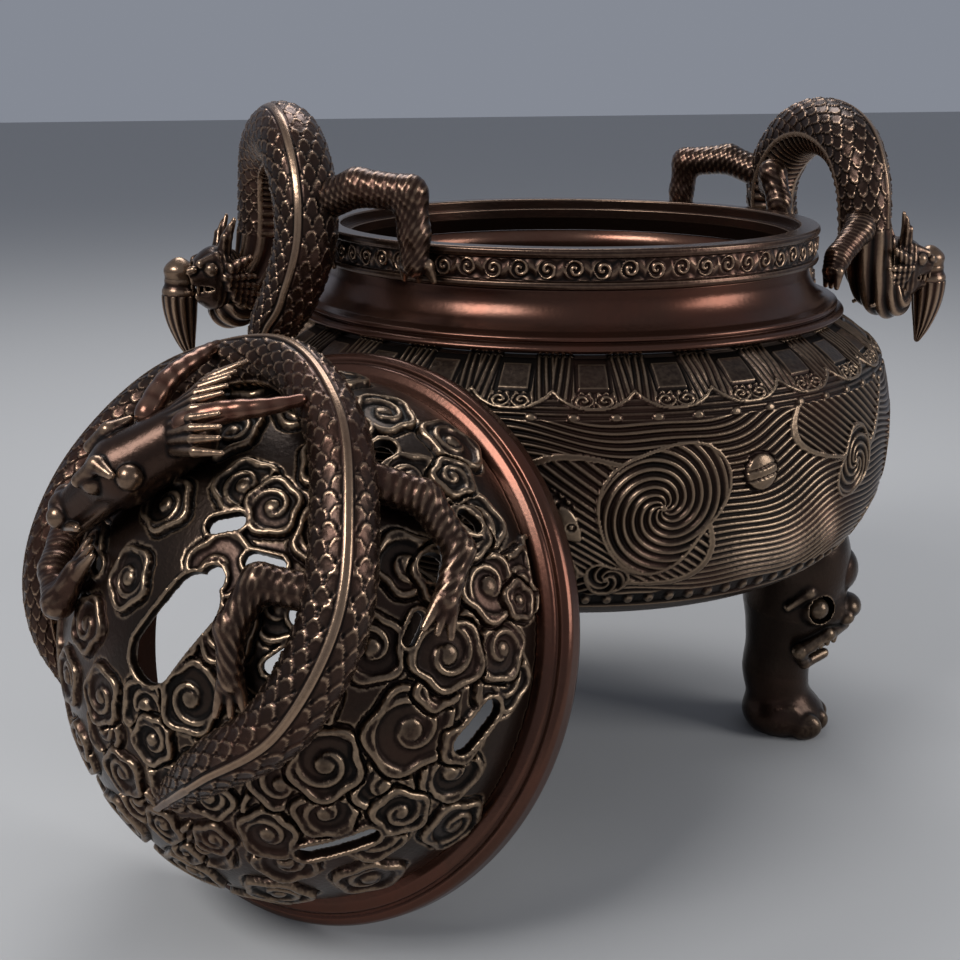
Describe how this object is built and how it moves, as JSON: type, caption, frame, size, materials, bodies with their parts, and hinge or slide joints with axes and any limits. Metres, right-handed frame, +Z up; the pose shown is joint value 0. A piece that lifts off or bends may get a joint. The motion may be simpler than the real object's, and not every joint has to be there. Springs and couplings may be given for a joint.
{
  "type": "tripod incense burner",
  "caption": "Cast bronze tripod incense burner with dragon handles, mask legs and an openwork dragon lid leaning on the bowl.",
  "frame": {"origin": "centre of the whole object's box, on the surface that it stands on", "axes": "+X towards the dragon handle beside the open leg, both handles lie along X; +Z up; the lid leans on the bowl towards -X -Y"},
  "size_m": [0.2898, 0.2408, 0.1982],
  "materials": {
    "bronze_relief": "dark patinated cast relief, worn on the high points",
    "bronze_smooth": "smooth chestnut patina, semi-gloss",
    "bronze_worn": "worn golden bronze with dark recesses"
  },
  "bodies": {
    "censer": {"belly_bowl": "bronze_relief", "neck_ring": "bronze_smooth", "rim_collar": "bronze_worn", "mask_leg_1": "bronze_relief", "leg_rivet_1": "bronze_smooth", "mask_leg_2": "bronze_relief", "leg_rivet_2": "bronze_smooth", "mask_leg_3": "bronze_relief", "leg_rivet_3": "bronze_smooth", "handle_1_body": "bronze_worn", "handle_1_head": "bronze_worn", "handle_1_beard": "bronze_worn", "handle_1_hind_leg": "bronze_worn", "handle_1_middle_leg": "bronze_worn", "handle_1_fore_leg": "bronze_worn", "handle_2_body": "bronze_worn", "handle_2_head": "bronze_worn", "handle_2_beard": "bronze_worn", "handle_2_hind_leg": "bronze_worn", "handle_2_middle_leg": "bronze_worn", "handle_2_fore_leg": "bronze_worn"},
    "lid": {"lid_rim": "bronze_smooth", "lid_dome": "bronze_relief", "lid_dragon_body": "bronze_worn", "lid_dragon_head": "bronze_worn", "lid_dragon_horn_1": "bronze_worn", "lid_dragon_horn_2": "bronze_worn", "lid_dragon_leg_1": "bronze_worn", "lid_dragon_leg_2": "bronze_worn", "lid_dragon_leg_3": "bronze_worn"}
  },
  "joints": [
    {"name": "lid_lift", "type": "slide", "parent": "censer", "child": "lid", "axis": [-0.5721, -0.4156, 0.7071], "range_m": [0, 0.2]}
  ]
}
